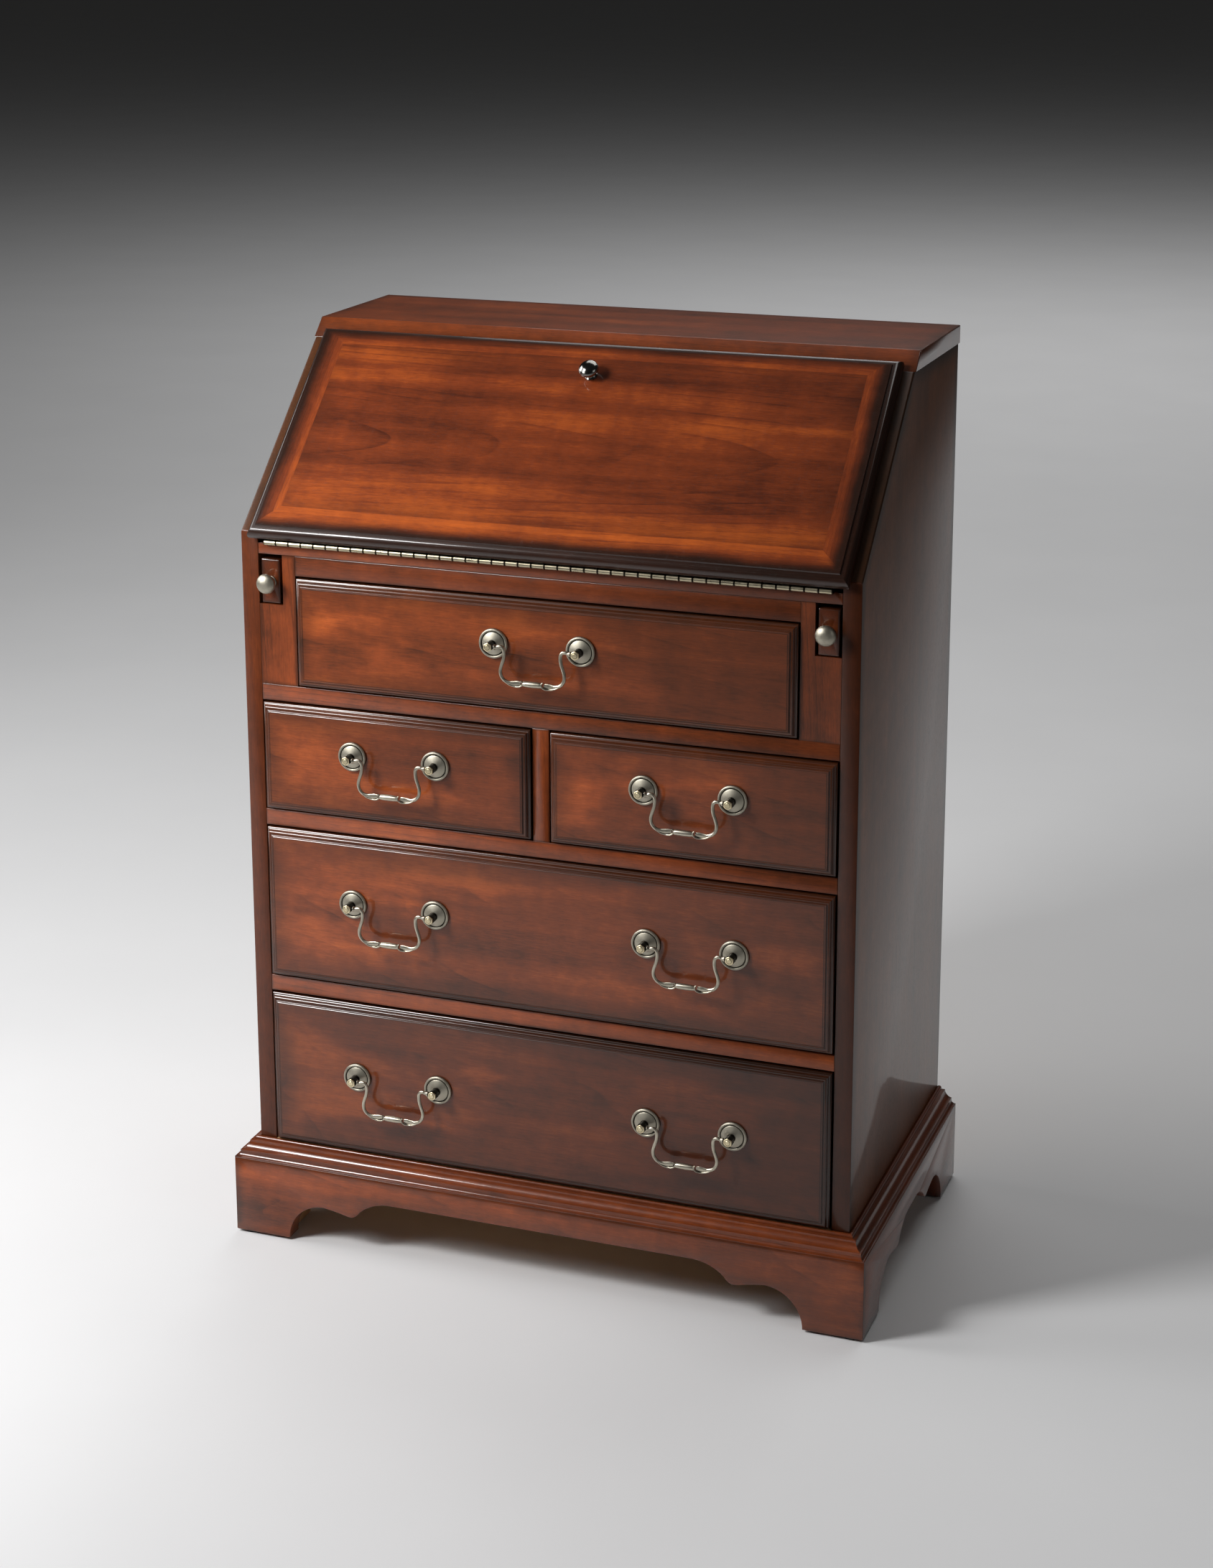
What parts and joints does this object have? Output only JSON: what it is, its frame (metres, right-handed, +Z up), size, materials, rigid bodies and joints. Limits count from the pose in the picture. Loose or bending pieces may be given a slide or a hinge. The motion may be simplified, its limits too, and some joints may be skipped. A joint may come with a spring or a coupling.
{
  "type": "slant-front secretary desk",
  "caption": "Slant-front secretary desk: hinged sloping lid on pull-out lopers, drawers with bail handles, moulded bracket-foot base.",
  "frame": {"origin": "middle of the desk's footprint, on the floor", "axes": "+X to the desk's right as seen from the front, +Y from the front to the back, +Z up"},
  "size_m": [0.703, 0.403, 0.974],
  "materials": {
    "case_wood": "satin lacquer",
    "lid_wood": "satin lacquer",
    "secondary_wood": "clear sealed",
    "back_board": "unfinished",
    "pewter": "antique brushed",
    "hinge_metal": "antique nickel",
    "glide_plastic": "matt"
  },
  "bodies": {
    "carcass": {"left_side_panel": "case_wood", "right_side_panel": "case_wood", "top_board": "case_wood", "back_panel": "back_board", "writing_surface": "case_wood", "bottom_board": "secondary_wood", "filler_rail": "case_wood", "lower_rail": "case_wood", "middle_rail": "case_wood", "upper_rail": "case_wood", "centre_divider": "case_wood", "drawer_runners": "secondary_wood", "left_loper_post": "case_wood", "right_loper_post": "case_wood", "loper_guides": "secondary_wood", "top_rail": "case_wood", "case_hinge_leaf": "hinge_metal", "case_hinge_screws": "hinge_metal", "hinge_pin": "hinge_metal", "plinth_front": "case_wood", "plinth_left": "case_wood", "plinth_right": "case_wood", "plinth_back": "back_board", "base_moulding_front": "case_wood", "base_moulding_left": "case_wood", "base_moulding_right": "case_wood", "corner_blocks": "secondary_wood", "foot_glides": "glide_plastic", "gallery_shelf": "case_wood", "gallery_dividers": "case_wood"},
    "lid": {"lid_panel": "lid_wood", "lid_knob": "pewter", "lid_hinge_leaf": "hinge_metal", "lid_hinge_screws": "hinge_metal"},
    "loper_left": {"left_loper": "case_wood", "left_loper_knob": "pewter"},
    "loper_right": {"right_loper": "case_wood", "right_loper_knob": "pewter"},
    "drawer_top": {"top_drawer_front": "case_wood", "top_drawer_box": "secondary_wood", "top_drawer_handle_mounts": "pewter"},
    "bail_top": {"top_drawer_bail": "pewter"},
    "drawer_small_left": {"small_drawer_left_front": "case_wood", "small_drawer_left_box": "secondary_wood", "small_drawer_left_handle_mounts": "pewter"},
    "bail_small_left": {"small_drawer_left_bail": "pewter"},
    "drawer_small_right": {"small_drawer_right_front": "case_wood", "small_drawer_right_box": "secondary_wood", "small_drawer_right_handle_mounts": "pewter"},
    "bail_small_right": {"small_drawer_right_bail": "pewter"},
    "drawer_third": {"third_drawer_front": "case_wood", "third_drawer_box": "secondary_wood", "third_drawer_handle_mounts": "pewter"},
    "bail_third_left": {"third_drawer_left_bail": "pewter"},
    "bail_third_right": {"third_drawer_right_bail": "pewter"},
    "drawer_bottom": {"bottom_drawer_front": "case_wood", "bottom_drawer_box": "secondary_wood", "bottom_drawer_handle_mounts": "pewter"},
    "bail_bottom_left": {"bottom_drawer_left_bail": "pewter"},
    "bail_bottom_right": {"bottom_drawer_right_bail": "pewter"}
  },
  "joints": [
    {"name": "lid_hinge", "type": "hinge", "parent": "carcass", "child": "lid", "pos_m": [0, -0.178, 0.7721], "axis": [1, 0, 0], "range_deg": [0, 136.9]},
    {"name": "loper_left_slide", "type": "slide", "parent": "carcass", "child": "loper_left", "axis": [0, -1, 0], "range_m": [0, 0.25]},
    {"name": "loper_right_slide", "type": "slide", "parent": "carcass", "child": "loper_right", "axis": [0, -1, 0], "range_m": [0, 0.25]},
    {"name": "drawer_top_slide", "type": "slide", "parent": "carcass", "child": "drawer_top", "axis": [0, -1, 0], "range_m": [0, 0.27]},
    {"name": "bail_top_pivot", "type": "hinge", "parent": "drawer_top", "child": "bail_top", "pos_m": [0, -0.1965, 0.69], "axis": [-1, 0, 0], "range_deg": [-8, 95]},
    {"name": "drawer_small_left_slide", "type": "slide", "parent": "carcass", "child": "drawer_small_left", "axis": [0, -1, 0], "range_m": [0, 0.27]},
    {"name": "bail_small_left_pivot", "type": "hinge", "parent": "drawer_small_left", "child": "bail_small_left", "pos_m": [-0.159, -0.1965, 0.55375], "axis": [-1, 0, 0], "range_deg": [-8, 95]},
    {"name": "drawer_small_right_slide", "type": "slide", "parent": "carcass", "child": "drawer_small_right", "axis": [0, -1, 0], "range_m": [0, 0.27]},
    {"name": "bail_small_right_pivot", "type": "hinge", "parent": "drawer_small_right", "child": "bail_small_right", "pos_m": [0.159, -0.1965, 0.55375], "axis": [-1, 0, 0], "range_deg": [-8, 95]},
    {"name": "drawer_third_slide", "type": "slide", "parent": "carcass", "child": "drawer_third", "axis": [0, -1, 0], "range_m": [0, 0.27]},
    {"name": "bail_third_left_pivot", "type": "hinge", "parent": "drawer_third", "child": "bail_third_left", "pos_m": [-0.162, -0.1965, 0.392], "axis": [-1, 0, 0], "range_deg": [-8, 95]},
    {"name": "bail_third_right_pivot", "type": "hinge", "parent": "drawer_third", "child": "bail_third_right", "pos_m": [0.162, -0.1965, 0.392], "axis": [-1, 0, 0], "range_deg": [-8, 95]},
    {"name": "drawer_bottom_slide", "type": "slide", "parent": "carcass", "child": "drawer_bottom", "axis": [0, -1, 0], "range_m": [0, 0.27]},
    {"name": "bail_bottom_left_pivot", "type": "hinge", "parent": "drawer_bottom", "child": "bail_bottom_left", "pos_m": [-0.162, -0.1965, 0.197], "axis": [-1, 0, 0], "range_deg": [-8, 95]},
    {"name": "bail_bottom_right_pivot", "type": "hinge", "parent": "drawer_bottom", "child": "bail_bottom_right", "pos_m": [0.162, -0.1965, 0.197], "axis": [-1, 0, 0], "range_deg": [-8, 95]}
  ]
}
